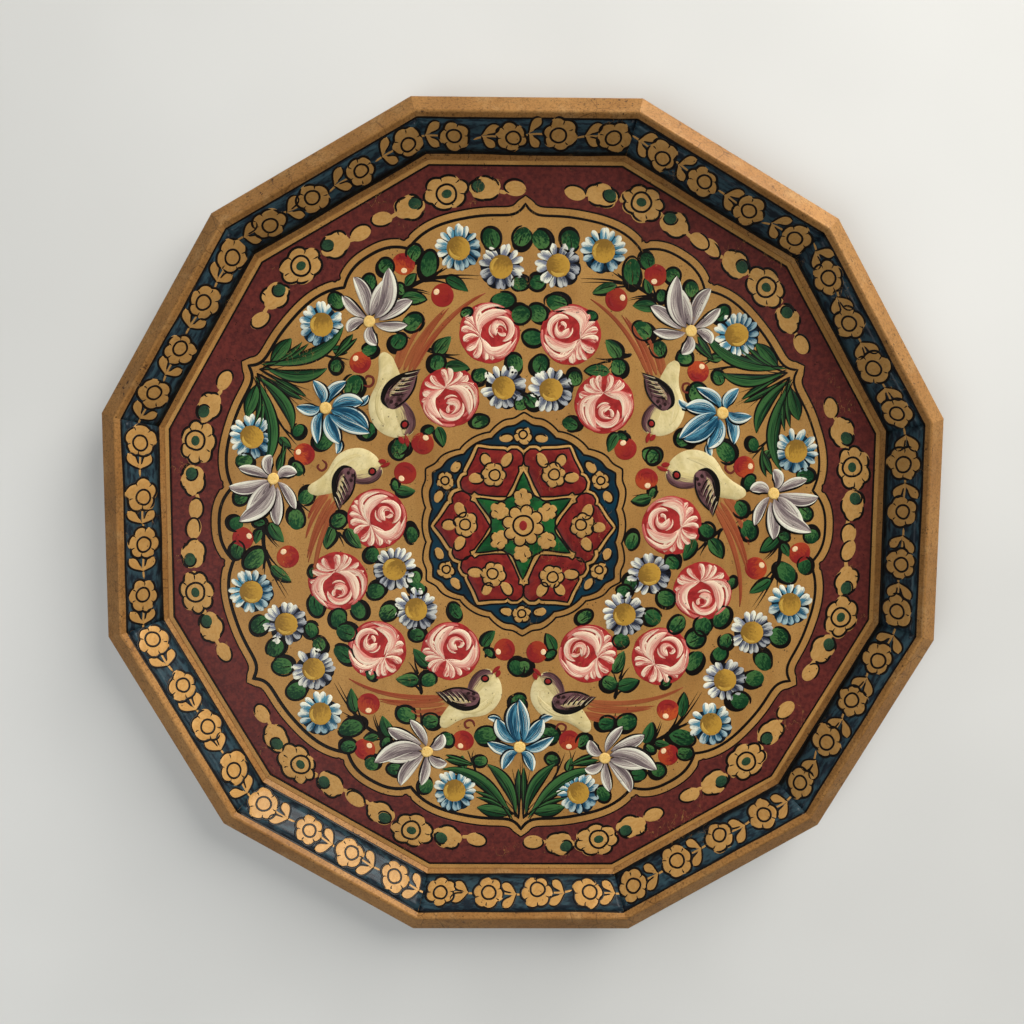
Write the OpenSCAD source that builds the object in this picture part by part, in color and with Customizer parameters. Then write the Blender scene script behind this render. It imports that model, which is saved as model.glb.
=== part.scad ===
// Twelve-sided painted wooden tray.
// A flat base board carries twelve mitred wall staves that lean outward.
// The origin is the middle of the underside, +Z is up, and two of the twelve flats face +Y and -Y.

/* [Outline] */
// Number of straight sides
sides = 12; // [8:2:16]
// Width across the flats, over the outer edges of the lip
across_flats = 430; // [300:5:600]

/* [Wall] */
// Lean of the wall from vertical, in degrees
wall_lean = 36; // [15:1:50]
// Slanted height of the inner wall face, from the floor to the lip
wall_slant = 27.5; // [15:0.5:60]
// Thickness of a stave, which is also the width of its square-cut lip
stave_thickness = 13; // [8:0.5:18]
// Radius of the rounded inner edge of the lip
inner_edge_radius = 1.2; // [0.5:0.1:3]
// Radius of the rounded outer edge of the lip
outer_edge_radius = 2.4; // [0.5:0.1:4]

/* [Base] */
// Thickness of the base board
base_thickness = 6; // [4:0.5:12]

/* [Hidden] */
board_colour = [0.62, 0.43, 0.22];
stave_colour = [0.68, 0.49, 0.29];
arc_facets = 48;
side_angle = 360 / sides;
half_side = side_angle / 2;
// Unit steps up the slanted wall and outward through its thickness, as [radius, height]
up_wall = [sin(wall_lean), cos(wall_lean)];
through_wall = [cos(wall_lean), -sin(wall_lean)];
// The wall's foot on the floor, and the lip's two corners before rounding.
// The outer edge is set so that its round reaches the stated width across the flats.
outer_round_loss = outer_edge_radius * (through_wall[0] + up_wall[0] - 1);
lip_outer_radius = across_flats / 2 + outer_round_loss;
lip_inner_radius = lip_outer_radius - stave_thickness * through_wall[0];
floor_radius = lip_inner_radius - wall_slant * up_wall[0];
foot_outer_radius = floor_radius + stave_thickness / through_wall[0];
lip_inner_height = base_thickness + wall_slant * up_wall[1];
lip_inner = [lip_inner_radius, lip_inner_height];
lip_outer = lip_inner + stave_thickness * through_wall;
// A stave is cut from a length a little longer than its outer edge
stave_stock = 2 * lip_outer_radius * tan(half_side) + 10;
wedge_reach = 1.2 * lip_outer_radius / cos(half_side);

function stave_name(i) = str("wall_stave_", i < 9 ? "0" : "", i + 1);

// Regular outline whose flats are at the given distance from the axis
module outline(flat_distance) {
    rotate(90 - half_side)
        circle(r = flat_distance / cos(half_side), $fn = sides);
}

// Section through a stave, in [distance from the axis, height].
// The two lip corners are cut back to their tangent points, and a circle fills each one's round.
module stave_section() {
    polygon([
        [floor_radius, base_thickness],
        [foot_outer_radius, base_thickness],
        lip_outer - outer_edge_radius * up_wall,
        lip_outer - outer_edge_radius * through_wall,
        lip_inner + inner_edge_radius * through_wall,
        lip_inner - inner_edge_radius * up_wall
    ]);
    translate(lip_outer - outer_edge_radius * (through_wall + up_wall))
        circle(r = outer_edge_radius, $fn = arc_facets);
    translate(lip_inner + inner_edge_radius * (through_wall - up_wall))
        circle(r = inner_edge_radius, $fn = arc_facets);
}

// Wedge between the two mitre planes that meet on the axis
module mitre_wedge() {
    linear_extrude(height = lip_inner_height + 1)
        polygon([
            [0, 0],
            wedge_reach * [cos(half_side), -sin(half_side)],
            wedge_reach * [cos(half_side), sin(half_side)]
        ]);
}

// Flat dodecagonal board that the staves stand on
module base_board() {
    color(board_colour)
        linear_extrude(height = base_thickness)
            outline(foot_outer_radius);
}

// One wall stave. Stave 1 faces +Y, and the count goes clockwise seen from above.
module wall_stave(i) {
    color(stave_colour)
        rotate(90 - i * side_angle)
            intersection() {
                translate([0, stave_stock / 2, 0])
                    rotate([90, 0, 0])
                        linear_extrude(height = stave_stock)
                            stave_section();
                mitre_wedge();
            }
}

base_board();
for (i = [0:sides - 1]) {
    wall_stave(i);
}
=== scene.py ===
"""Looks for a twelve-sided hand-painted tray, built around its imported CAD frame.

The painting is real relief: every brush stroke is a thin closed solid laid on the board or on a wall.
Flat shapes are drawn in millimetres. The floor's picture repeats in six mirrored wedges, so most
places are given once, in the wedge between a rose axis (+Y) and a lily axis (60 degrees to its left).
"""

from math import atan2, cos, degrees, hypot, pi, radians, sin, tan

import bmesh
import bpy
import numpy as np
from mathutils import Euler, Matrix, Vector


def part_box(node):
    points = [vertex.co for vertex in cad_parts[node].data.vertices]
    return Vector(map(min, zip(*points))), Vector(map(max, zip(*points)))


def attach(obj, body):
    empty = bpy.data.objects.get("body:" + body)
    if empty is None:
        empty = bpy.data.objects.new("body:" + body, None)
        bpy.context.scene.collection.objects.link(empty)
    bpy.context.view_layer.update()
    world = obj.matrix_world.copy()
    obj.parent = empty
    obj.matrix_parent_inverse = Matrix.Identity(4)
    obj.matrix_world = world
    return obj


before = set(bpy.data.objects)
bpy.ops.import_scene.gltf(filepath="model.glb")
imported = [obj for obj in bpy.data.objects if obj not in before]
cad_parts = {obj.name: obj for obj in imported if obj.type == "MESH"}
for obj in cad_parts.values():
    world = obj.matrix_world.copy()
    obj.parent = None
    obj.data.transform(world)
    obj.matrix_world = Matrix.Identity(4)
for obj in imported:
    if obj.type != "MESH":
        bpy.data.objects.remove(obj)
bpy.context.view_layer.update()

# ---------------------------------------------------------------- sizes from the frame, in millimetres
MM = 0.001
SIDES = 12
SIDE_ANGLE = 360 / SIDES
HALF_SIDE = radians(SIDE_ANGLE / 2)
WALL_LEAN = radians(36)
EAST_STAVE = "wall_stave_04"
FLOOR_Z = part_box("base_board")[1][2] / MM
FLOOR_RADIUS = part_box(EAST_STAVE)[0][0] / MM

WEDGES = [(turn, flip) for turn in (0, 120, 240) for flip in (False, True)]
LILY_TURN = 60
rng = np.random.default_rng(12)


# ---------------------------------------------------------------- colours
def tone(red, green, blue):
    """A paint given as it looks on a screen, from 0 to 255, turned into linear light."""
    shown = (level / 255 for level in (red, green, blue))
    return tuple(c / 12.92 if c <= 0.04045 else ((c + 0.055) / 1.055) ** 2.4 for c in shown)


def blend_tones(first, second, share):
    """The first colour with a share of the second mixed in."""
    return tuple(a + (b - a) * share for a, b in zip(first, second))


OCHRE = tone(176, 132, 72)
OCHRE_DEEP = tone(154, 110, 58)
GOLD_LIGHT = tone(186, 144, 84)
# Painted shade: the brown of the thin line drawn in the crease where each wall meets the floor
CREASE_SHADE_BROWN = tone(116, 80, 44)
BLACK = tone(9, 8, 7)
SOFT_BLACK = tone(19, 15, 12)
INK = (BLACK, SOFT_BLACK)
MAROON = tone(100, 44, 38)
MAROON_DARK = tone(76, 34, 32)
NAVY = tone(42, 64, 72)
NAVY_DARK = tone(18, 29, 38)
LEAF = tone(24, 78, 42)
LEAF_LIGHT = tone(92, 130, 68)
LEAF_DARK = tone(9, 40, 24)
ROSE_RED = tone(168, 48, 46)
ROSE_DEEP = tone(140, 36, 36)
ROSE_BLUSH = tone(184, 76, 72)
ROSE_PINK = tone(206, 122, 110)
ROSE_CREAM = tone(240, 218, 188)
PETAL_WHITE = tone(232, 230, 208)
PETAL_BLUE = tone(80, 140, 160)
PETAL_DEEP_BLUE = tone(16, 62, 86)
PETAL_SLATE = tone(120, 126, 142)
PETAL_DEEP_SLATE = tone(38, 44, 60)
DAISY_HEART = tone(180, 138, 54)
DAISY_HEART_LIGHT = tone(200, 164, 78)
DAISY_HEART_DARK = tone(134, 100, 40)
LILY_HEART = tone(226, 182, 96)
LILY_HEART_LIGHT = tone(238, 204, 130)
GREY_PETAL = tone(174, 161, 152)
GREY_PETAL_DARK = tone(112, 98, 98)
BIRD_CREAM = tone(200, 182, 126)
BIRD_CREAM_PALE = tone(222, 206, 154)
BIRD_BROWN = tone(108, 74, 76)
BIRD_BROWN_DARK = tone(58, 36, 36)
TAIL_RED = tone(128, 48, 32)
TAIL_PALE = tone(152, 80, 48)
BERRY_RED = tone(138, 36, 32)
BERRY_ORANGE = tone(176, 74, 36)
BERRY_LIGHT = tone(236, 188, 120)
GRIME = tone(28, 19, 13)
MEDALLION_BLUE = tone(12, 48, 62)
MEDALLION_BLUE_DARK = tone(12, 36, 48)
MEDALLION_RED = tone(128, 38, 33)
MEDALLION_RED_DARK = tone(104, 28, 28)
MEDALLION_GREEN = tone(24, 86, 40)
MEDALLION_GREEN_DARK = tone(16, 64, 32)
BLUE_TONES = (PETAL_DEEP_BLUE, PETAL_BLUE, PETAL_WHITE)
GREY_TONES = (GREY_PETAL_DARK, GREY_PETAL, PETAL_WHITE)
GREEN_HEART = (tone(44, 74, 50), tone(30, 54, 40))
GOLD = (GOLD_LIGHT, OCHRE)

# The bare lacquer: the board's ground and underside, and the wall's lip and outside
OCHRE_GRAIN = tone(126, 90, 46)
LACQUER = tone(58, 26, 22)
LACQUER_DARK = tone(34, 18, 16)
LACQUER_RUBBED = tone(112, 74, 48)
BARE_WOOD = tone(136, 100, 70)
WALL_OCHRE = tone(164, 120, 68)
WALL_OCHRE_DEEP = tone(142, 99, 52)
WALL_RUBBED = tone(176, 140, 92)
WALL_GRAIN = tone(96, 64, 34)
WALL_SPECK = tone(62, 42, 26)
WALL_CRACK = tone(78, 52, 32)
WALL_CHIP = tone(64, 42, 28)
TABLE_PALE = tone(214, 214, 210)
TABLE_GREY = tone(205, 205, 201)

# How a brush is loaded: how far its two paints part across it, how far along the stroke, and how streakily
INK_LOAD = (0, 0, 0.5)
SHADOW_LOAD = (0, 0, 0.4)
PLAIN_LOAD = (0, 0, 0.9)
ROUND_LOAD = (0.2, 0, 0.9)
FIELD_LOAD = (0, 0, 1.0)
MOTTLED_LOAD = (0, 0, 1.4)


# ---------------------------------------------------------------- places on a flat picture
class Pose:
    """Where a motif stands in the picture: a turn, an optional mirror, a size and a place."""

    def __init__(self, matrix=None):
        self.matrix = np.eye(3) if matrix is None else matrix

    def at(self, x=0.0, y=0.0, turn=0.0, flip=False, size=1.0):
        """A pose inside this one, turned anticlockwise by degrees and mirrored left to right."""
        c, s = cos(radians(turn)) * size, sin(radians(turn)) * size
        side = -1.0 if flip else 1.0
        local = np.array([[c * side, -s, x], [s * side, c, y], [0, 0, 1]])
        return Pose(self.matrix @ local)

    def apply(self, points):
        points = np.asarray(points, float)
        return points @ self.matrix[:2, :2].T + self.matrix[:2, 2]


def on_floor(x, y, height):
    """Picture millimetres to metres on the board."""
    return np.stack([x, y, FLOOR_Z + height], axis=-1) * MM


def on_wall(side):
    """A function that lays picture millimetres on one leaning wall: x along it, y up its slant."""
    outward = radians(90 - side * SIDE_ANGLE)

    def place(x, y, height):
        radius = FLOOR_RADIUS + y * sin(WALL_LEAN) - height * cos(WALL_LEAN)
        z = FLOOR_Z + y * cos(WALL_LEAN) + height * sin(WALL_LEAN)
        east = radius * cos(outward) + x * sin(outward)
        north = radius * sin(outward) - x * cos(outward)
        return np.stack([east, north, z], axis=-1) * MM

    return place


# ---------------------------------------------------------------- curves
def bezier(points, count):
    """Points along the Bezier curve of any degree that the control points give."""
    share = np.linspace(0, 1, count)[:, None]
    row = [np.asarray(p, float) for p in points]
    layers = [np.repeat(p[None], count, axis=0) for p in row]
    while len(layers) > 1:
        layers = [a + (b - a) * share for a, b in zip(layers, layers[1:])]
    return layers[0]


def smooth_path(points, count, closed=False):
    """Points along a Catmull-Rom curve through given points."""
    p = np.asarray(points, float)
    if closed:
        p = np.concatenate([p[-1:], p, p[:2]])
    else:
        p = np.concatenate([2 * p[:1] - p[1:2], p, 2 * p[-1:] - p[-2:-1]])
    spans = len(p) - 3
    place = np.linspace(0, spans, count, endpoint=not closed)
    i = np.minimum(place.astype(int), spans - 1)
    t = (place - i)[:, None]
    a, b, c, d = p[i], p[i + 1], p[i + 2], p[i + 3]
    square = (2 * a - 5 * b + 4 * c - d) * t ** 2
    cube = (3 * b - a - 3 * c + d) * t ** 3
    return 0.5 * (2 * b + (c - a) * t + square + cube)


def around(count):
    """Evenly spaced angles once round, in radians."""
    return np.linspace(0, 2 * pi, count, endpoint=False)


def arc(centre, radius, start, end, count=12):
    """Points on a circular arc, with angles in degrees."""
    a = np.radians(np.linspace(start, end, count))
    return np.stack([centre[0] + radius * np.cos(a), centre[1] + radius * np.sin(a)], axis=-1)


def wobble(count, amount, waves=5, closed=True):
    """A smooth free-hand error along a line, from a few random sines."""
    a = np.linspace(0, 2 * pi, count, endpoint=not closed)
    total = np.zeros(count)
    for k in range(1, waves + 1):
        total += rng.normal() / k * np.sin(k * a + rng.uniform(0, 2 * pi))
    return total * amount


def normals_of(path, closed=False):
    """Unit vectors to the left of a path, one for each of its points."""
    if closed:
        along = np.roll(path, -1, axis=0) - np.roll(path, 1, axis=0)
    else:
        along = np.gradient(path, axis=0)
    length = np.maximum(np.hypot(along[:, 0], along[:, 1]), 1e-9)
    return np.stack([-along[:, 1], along[:, 0]], axis=-1) / length[:, None]


# ---------------------------------------------------------------- brush shapes: half width along a stroke
def comma_shape(u):
    """A loaded brush pressed down and drawn off to a point."""
    head = np.sqrt(np.clip(1 - (1 - np.minimum(u / 0.22, 1)) ** 2, 0, 1))
    tail = 1 - np.clip((u - 0.22) / 0.78, 0, 1) ** 1.7
    return np.maximum(head * tail, 0.02)


def swelling(lean, fullness, least):
    """A brush shape that swells once: early in the stroke when lean is under 1, late when it is over."""
    return lambda u: np.maximum(np.sin(pi * u ** lean) ** fullness, least)


petal_shape = swelling(1.15, 0.62, 0.03)
spoon_shape = swelling(1.6, 0.6, 0.06)
blade_shape = swelling(0.88, 0.75, 0.02)
leaf_shape = swelling(0.75, 0.7, 0.02)
reed_shape = swelling(1.25, 0.8, 0.06)


def dab_shape(u):
    """Narrow at the root, with a full round tip."""
    root = 0.5 + 0.5 * np.sin(0.5 * pi * np.minimum(u / 0.62, 1))
    tip = np.sqrt(np.clip(1 - (np.maximum(u - 0.62, 0) / 0.38) ** 2, 0.02, 1))
    return root * tip


def line_shape(u):
    """An even line with short rounded ends."""
    return np.clip(np.minimum(u, 1 - u) * 9, 0.12, 1) ** 0.5


def taper_shape(u):
    """Widest just after the start, then thinning to the end."""
    return np.maximum((1 - u) ** 0.7 * np.minimum(u * 12 + 0.4, 1), 0.05)


def even_shape(u):
    """The same width all along."""
    return np.ones_like(u)


# Across a stroke: place from edge (-1) to edge (1), whether it is up on the layer, and share of the rise
WIDE_ACROSS = (
    (-1, 0, 0), (-0.93, 1, 0.15), (-0.5, 1, 0.75), (0, 1, 1),
    (0.5, 1, 0.75), (0.93, 1, 0.15), (1, 0, 0),
)
LINE_ACROSS = ((-1, 0, 0), (-0.75, 1, 0.3), (0, 1, 1), (0.75, 1, 0.3), (1, 0, 0))
NARROW_HALF = 0.9
LAYER_STEP = 0.010
# Share of a stroke's fresh height that is left once it has dried and been varnished
RELIEF = 0.12


def sheet_faces(rows, count):
    """Faces of a closed sheet: rows of points side by side, an underside between the outer rows, two ends."""
    faces = []
    for start in range(0, (rows - 1) * count, count):
        for i in range(start, start + count - 1):
            faces.append((i + count, i + count + 1, i + 1, i))
    last = (rows - 1) * count
    for i in range(count - 1):
        faces.append((i, i + 1, last + i + 1, last + i))
    faces.append(tuple(range(0, rows * count, count)))
    faces.append(tuple(range(rows * count - 1, 0, -count)))
    return faces


def belt_faces(lower, upper, count):
    """Faces between two rings of points, given where in the list each ring starts."""
    return [(lower + i, lower + (i + 1) % count, upper + (i + 1) % count, upper + i) for i in range(count)]


class Painting:
    """The strokes, patches and lines of one painted piece. Each is a closed solid that stands on the surface.

    Its layer says how high it lies among its neighbours, and rise how far its crown stands above that.
    """

    def __init__(self, name, place=on_floor, slot="painted_board"):
        self.name = name
        self.place = place
        self.slot = slot
        self.points, self.brush, self.load, self.tone_a, self.tone_b = [], [], [], [], []
        self.faces = []
        self.size = 0

    def add(self, pose, flat, height, faces, brush, tones, load):
        """Keep one solid, with the place on its stroke, the load and both paints at every point."""
        count = len(flat)
        spot = pose.apply(flat)
        self.points.append(self.place(spot[:, 0], spot[:, 1], np.asarray(height, float)))
        seed = rng.uniform(0, 40)
        self.brush.append(np.column_stack([brush, np.full(count, seed)]))
        self.load.append(np.tile(load, (count, 1)))
        self.tone_a.append(np.tile((*tones[0], 1.0), (count, 1)))
        self.tone_b.append(np.tile((*tones[1], 1.0), (count, 1)))
        self.faces += [[i + self.size for i in face] for face in faces]
        self.size += count

    def stroke(self, pose, path, width, tones, layer, shape, rise, load, count=12):
        """One pull of the brush along a Bezier path (up to 4 points) or through more points."""
        path = np.asarray(path, float)
        if len(path) == count:
            line = path
        elif len(path) <= 4:
            line = bezier(path, count)
        else:
            line = smooth_path(path, count)
        share = np.linspace(0, 1, count)
        half = 0.5 * (np.interp(share, np.linspace(0, 1, len(width)), width) if np.ndim(width) else width)
        half = half * shape(share)
        side = normals_of(line)
        across = LINE_ACROSS if np.max(half) < NARROW_HALF else WIDE_ACROSS
        ends = np.clip(np.minimum(share, 1 - share) * 8, 0.25, 1)
        flat, height, brush = [], [], []
        for v, on_layer, crown in across:
            flat.append(line + side * (half * v)[:, None])
            height.append(on_layer * (layer + 1) * LAYER_STEP + crown * rise * RELIEF * ends)
            brush.append(np.column_stack([share, np.full(count, v)]))
        flat, height, brush = (np.concatenate(rows) for rows in (flat, height, brush))
        self.add(pose, flat, height, sheet_faces(len(across), count), brush, tones, load)

    def blob(self, pose, outline, tones, layer, rise=0.1, load=PLAIN_LOAD, centre=None):
        """A filled patch of paint with an outline that its centre can see all of."""
        outline = np.asarray(outline, float)
        count = len(outline)
        centre = outline.mean(axis=0) if centre is None else np.asarray(centre, float)
        reach = np.max(np.hypot(*(outline - centre).T))
        rim = min(0.05, 0.25 / reach)
        flat, height = [], []
        base = (layer + 1) * LAYER_STEP
        rise = rise * RELIEF
        for inset, h in ((0, 0), (rim, base), (0.3, base + 0.6 * rise), (0.65, base + 0.9 * rise)):
            flat.append(outline + (centre - outline) * inset)
            height.append(np.full(count, h))
        flat.append(centre[None])
        height.append(np.array([base + rise]))
        flat = np.concatenate(flat)
        faces = [tuple(range(count))[::-1]]
        for ring in range(3):
            faces += belt_faces(ring * count, (ring + 1) * count, count)
        for i in range(count):
            faces.append((3 * count + i, 3 * count + (i + 1) % count, 4 * count))
        brush = (flat - centre) / reach * (1.5, 1) + (0.5, 0)
        self.add(pose, flat, np.concatenate(height), faces, brush, tones, load)

    def ring(self, pose, inner, outer, tones, layer, rise, load, scale=20.0):
        """A closed band of paint between two outlines with the same number of points."""
        count = len(inner)
        flat, height = [], []
        base = (layer + 1) * LAYER_STEP
        rise = rise * RELIEF
        crown = base + rise
        for share, h in ((0, 0), (0.04, base), (0.35, crown), (0.65, crown), (0.96, base), (1, 0)):
            flat.append(inner + (outer - inner) * share)
            height.append(np.full(count, h))
        flat = np.concatenate(flat)
        faces = []
        for ring in range(6):
            faces += belt_faces(ring * count, (ring + 1) % 6 * count, count)
        self.add(pose, flat, np.concatenate(height), faces, flat / scale * (2.9, 1), tones, load)

    def loop(self, pose, outline, width, tones=INK, layer=3, rise=0.08):
        """A closed line drawn along an outline, as thick as the brush."""
        side = normals_of(outline, closed=True) * np.reshape(width, (-1, 1)) * 0.5
        self.ring(pose, outline - side, outline + side, tones, layer, rise, INK_LOAD)

    def line(self, pose, path, width, layer, shape=line_shape, tones=INK, count=12):
        """A thin line, drawn in black unless it is told otherwise."""
        self.stroke(pose, path, width, tones, layer, shape, 0.08, INK_LOAD, count)

    def build(self, material):
        """Make one mesh of all the solids, facing outward, with their brush and paint kept as attributes."""
        mesh = bpy.data.meshes.new(self.name)
        points = np.concatenate(self.points)
        mesh.from_pydata(points.tolist(), [], self.faces)
        for name, kind, key, rows in (
            ("brush", "FLOAT_VECTOR", "vector", self.brush),
            ("load", "FLOAT_VECTOR", "vector", self.load),
            ("tone_a", "FLOAT_COLOR", "color", self.tone_a),
            ("tone_b", "FLOAT_COLOR", "color", self.tone_b),
        ):
            layer = mesh.attributes.new(name, kind, "POINT")
            layer.data.foreach_set(key, np.concatenate(rows).astype(np.float32).ravel())
        shell = bmesh.new()
        shell.from_mesh(mesh)
        bmesh.ops.recalc_face_normals(shell, faces=shell.faces[:])
        shell.to_mesh(mesh)
        shell.free()
        mesh.materials.append(material)
        mesh.polygons.foreach_set("use_smooth", [True] * len(mesh.polygons))
        mesh.update()
        piece = bpy.data.objects.new(self.name, mesh)
        bpy.context.scene.collection.objects.link(piece)
        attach(piece, "root")


# ---------------------------------------------------------------- materials
class Nodes:
    """Short names for building a material's node tree, with its patterns fixed to the object."""

    def __init__(self, name):
        self.material = bpy.data.materials.new(name)
        self.material.use_nodes = True
        self.tree = self.material.node_tree
        self.shader = self.tree.nodes["Principled BSDF"]
        self.place = self.new("ShaderNodeTexCoord").outputs["Object"]

    def new(self, kind, **values):
        node = self.tree.nodes.new(kind)
        for key, value in values.items():
            setattr(node, key, value)
        return node

    def put(self, value, socket):
        """Link an output to a socket, or set the socket when the value is a plain one."""
        if isinstance(value, bpy.types.NodeSocket):
            self.tree.links.new(value, socket)
        else:
            socket.default_value = value

    def math(self, operation, a, b=0.0):
        node = self.new("ShaderNodeMath", operation=operation)
        self.put(a, node.inputs[0])
        self.put(b, node.inputs[1])
        return node.outputs[0]

    def times(self, a, b):
        return self.math("MULTIPLY", a, b)

    def plus(self, a, b):
        return self.math("ADD", a, b)

    def minus(self, a, b):
        return self.math("SUBTRACT", a, b)

    def below(self, a, b):
        return self.math("LESS_THAN", a, b)

    def parts(self, vector):
        """The three numbers of a vector."""
        node = self.new("ShaderNodeSeparateXYZ")
        self.put(vector, node.inputs[0])
        return node.outputs

    def mix(self, share, a, b):
        node = self.new("ShaderNodeMix", data_type="RGBA")
        self.put(share, node.inputs["Factor"])
        for value, socket in ((a, node.inputs[6]), (b, node.inputs[7])):
            self.put(value if isinstance(value, bpy.types.NodeSocket) else (*value, 1.0), socket)
        return node.outputs[2]

    def cover(self, paint, mask, strength, colour):
        """Paint with a colour laid over it where the mask is, and only as strongly as told."""
        return self.mix(self.times(mask, strength), paint, colour)

    def noise(self, scale, detail, rough=0.55, stretch=None, where=None):
        where = where or self.place
        if stretch is not None:
            node = self.new("ShaderNodeMapping")
            self.put(where, node.inputs["Vector"])
            node.inputs["Scale"].default_value = stretch
            where = node.outputs[0]
        node = self.new("ShaderNodeTexNoise")
        self.put(where, node.inputs["Vector"])
        node.inputs["Scale"].default_value = scale
        node.inputs["Detail"].default_value = detail
        node.inputs["Roughness"].default_value = rough
        return node.outputs["Fac"]

    def ramp(self, value, low, high):
        """A value eased from 0 at the low end to 1 at the high end."""
        node = self.new("ShaderNodeMapRange", interpolation_type="SMOOTHSTEP")
        self.put(value, node.inputs["Value"])
        node.inputs["From Min"].default_value = low
        node.inputs["From Max"].default_value = high
        return node.outputs[0]

    def cloud(self, low, high, *noise):
        """Soft-edged patches, where a noise stands above the low to the high level."""
        return self.ramp(self.noise(*noise), low, high)

    def spots(self, scale, feature="F1"):
        node = self.new("ShaderNodeTexVoronoi", feature=feature)
        self.put(self.place, node.inputs["Vector"])
        node.inputs["Scale"].default_value = scale
        return node.outputs["Distance"]

    def scratches(self, scale, stretch, width):
        """Hairlines: the thin level lines of a stretched noise."""
        level = self.noise(scale, 2, 0.5, stretch)
        return self.below(self.math("ABSOLUTE", self.minus(level, 0.5)), width)

    def attribute(self, name, output="Vector"):
        return self.new("ShaderNodeAttribute", attribute_name=name).outputs[output]

    def uneven(self, noise, low, spread):
        """A roughness that starts at its lowest and rises with a noise."""
        return self.plus(self.times(noise, spread), low)

    def bump(self, height, strength, depth):
        node = self.new("ShaderNodeBump")
        node.inputs["Strength"].default_value = strength
        node.inputs["Distance"].default_value = depth
        self.put(height, node.inputs["Height"])
        self.put(node.outputs[0], self.shader.inputs["Normal"])

    def finish(self, colour, roughness, coat=0.08, coat_roughness=0.3, specular=0.06):
        self.put(colour, self.shader.inputs["Base Color"])
        self.put(roughness, self.shader.inputs["Roughness"])
        self.shader.inputs["Coat Weight"].default_value = coat
        self.shader.inputs["Coat Roughness"].default_value = coat_roughness
        self.shader.inputs["Specular IOR Level"].default_value = specular
        return self.material


def aged(n, colour, grime):
    """Faint mottling, dust in the pores and a few dark pits, as all the old lacquer has."""
    colour = n.cover(colour, n.cloud(0.3, 0.7, 45, 4), 0.14, GRIME)
    colour = n.cover(colour, n.cloud(0.56, 0.74, 900, 2, 0.7), grime, GRIME)
    pits = n.times(n.below(n.spots(330), 0.13), n.cloud(0.5, 0.6, 60, 2))
    return n.cover(colour, pits, 0.7, GRIME)


def brush_paint(name, coat, gilt=0.0):
    """Opaque paint whose streaks follow each stroke; gilt is how metallic its golds are."""
    n = Nodes(name)
    along, across, seed = n.parts(n.attribute("brush"))
    side_load, tip_load, streak_load = n.parts(n.attribute("load"))
    where = n.new("ShaderNodeCombineXYZ")
    n.put(n.times(along, 1.7), where.inputs[0])
    n.put(n.times(across, 5.0), where.inputs[1])
    n.put(seed, where.inputs[2])
    bristles = n.noise(1.3, 4, 0.6, None, where.outputs[0])
    share = n.plus(n.times(across, n.times(side_load, 0.5)), 0.5)
    tip = n.times(n.minus(along, 0.5), tip_load)
    streak = n.times(n.minus(bristles, 0.5), n.times(streak_load, 2.6))
    share = n.ramp(n.plus(n.plus(share, tip), streak), 0.15, 0.85)
    colour = n.mix(share, n.attribute("tone_a", "Color"), n.attribute("tone_b", "Color"))
    worn = n.times(n.cloud(0.68, 0.72, 260, 4, 0.7), n.cloud(0.5, 0.62, 22, 2))
    marks = n.times(n.scratches(260, (1, 0.45, 1), 0.006), n.cloud(0.6, 0.66, 38, 2))
    colour = n.cover(colour, n.math("MAXIMUM", worn, marks), 0.4, OCHRE)
    colour = aged(n, colour, 0.22)
    grain = n.noise(220, 3)
    n.bump(n.plus(n.times(bristles, 0.8), n.times(grain, 0.5)), 0.35, 0.00012)
    if gilt:
        separate = n.new("ShaderNodeSeparateColor")
        n.put(colour, separate.inputs[0])
        golden = n.ramp(separate.outputs[0], 0.12, 0.3)
        n.put(n.times(golden, gilt), n.shader.inputs["Metallic"])
    return n.finish(colour, n.uneven(grain, 0.36 + 0.4 * gilt, 0.25), coat)


def board_finish():
    """Ochre ground on the painted side, dark rubbed lacquer underneath."""
    n = Nodes("board_ochre_ground")
    ground = n.mix(n.cloud(0.3, 0.7, 14, 4), OCHRE, OCHRE_DEEP)
    ground = n.cover(ground, n.cloud(0.35, 0.7, 120, 4, 0.6, (1, 0.12, 1)), 0.35, GOLD_LIGHT)
    fine = n.cloud(0.4, 0.7, 1500, 2, 0.7)
    ground = n.cover(ground, fine, 0.45, OCHRE_GRAIN)
    ground = aged(n, ground, 0.3)
    lacquer = n.mix(n.cloud(0.35, 0.7, 20, 5), LACQUER, LACQUER_DARK)
    lacquer = n.cover(lacquer, n.cloud(0.56, 0.7, 160, 5, 0.65), 0.5, LACQUER_RUBBED)
    lacquer = n.cover(lacquer, n.scratches(30, (1, 0.1, 1), 0.004), 0.6, BARE_WOOD)
    height = n.parts(n.place)[2]
    top = n.ramp(height, (FLOOR_Z - 1.2) * MM, (FLOOR_Z - 0.4) * MM)
    grain = n.noise(260, 4)
    n.bump(n.plus(grain, n.times(fine, 0.3)), 0.3, 0.0001)
    return n.finish(n.mix(top, lacquer, ground), n.uneven(grain, 0.34, 0.3))


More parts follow.
